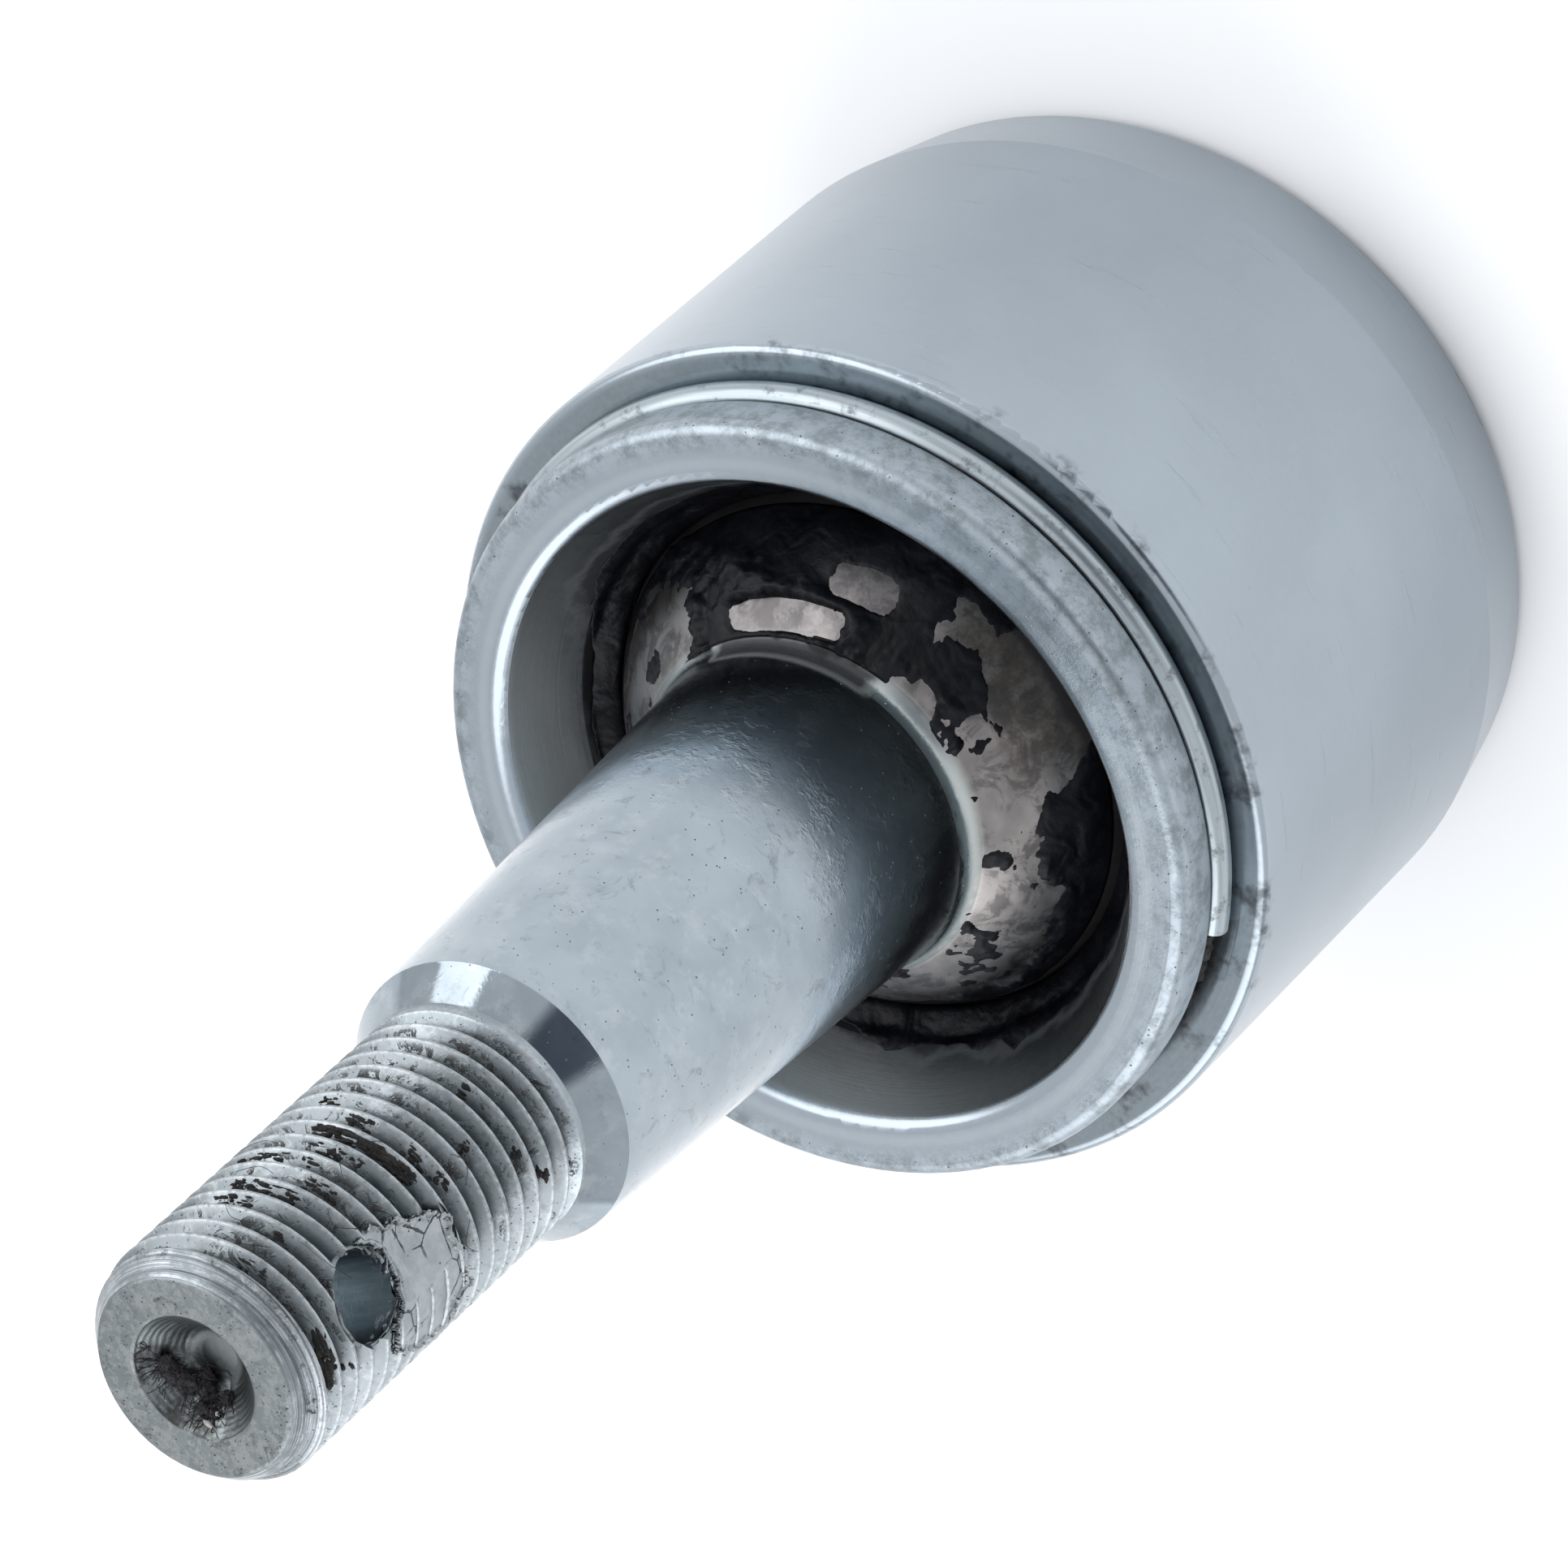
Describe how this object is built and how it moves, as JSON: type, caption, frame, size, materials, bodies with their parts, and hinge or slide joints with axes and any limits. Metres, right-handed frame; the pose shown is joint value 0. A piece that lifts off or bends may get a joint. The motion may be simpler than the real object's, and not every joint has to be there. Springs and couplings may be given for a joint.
{
  "type": "press-in ball joint",
  "caption": "Ball joint with a threaded, tapered ball stud swinging and spinning in a plain round press-in steel cartridge.",
  "frame": {"origin": "centre of the ball, which every motion turns about", "axes": "+Z along the housing's and the upright stud's axis, out of the mouth; the split-pin hole lies 25 degrees clockwise of the Y axis seen from +Z"},
  "size_m": [0.044, 0.044, 0.0867],
  "materials": {
    "zinc_plated_steel": "dull bright zinc plating with faint mottling",
    "stud_steel": "zinc-plated shank and thread, bare polished ball",
    "race_steel": "turned and greased",
    "spring_steel": "dark hardened",
    "ring_wire": "bright drawn wire",
    "grease": "black, wet"
  },
  "bodies": {
    "cartridge": {"housing": "zinc_plated_steel", "upper_race": "race_steel", "preload_spring": "spring_steel", "end_plug": "zinc_plated_steel", "boot_ring": "ring_wire", "grease_collar": "grease", "grease_pocket": "grease"},
    "seat": {"lower_race": "race_steel"},
    "stud": {"ball_stud": "stud_steel"}
  },
  "joints": [
    {"name": "stud_turn", "type": "hinge", "parent": "cartridge", "child": "seat", "pos_m": [0, 0, 0], "axis": [0, 0, 1], "continuous": true},
    {"name": "stud_tilt", "type": "hinge", "parent": "seat", "child": "stud", "pos_m": [0, 0, 0], "axis": [1, 0, 0], "range_deg": [-25, 25]}
  ]
}
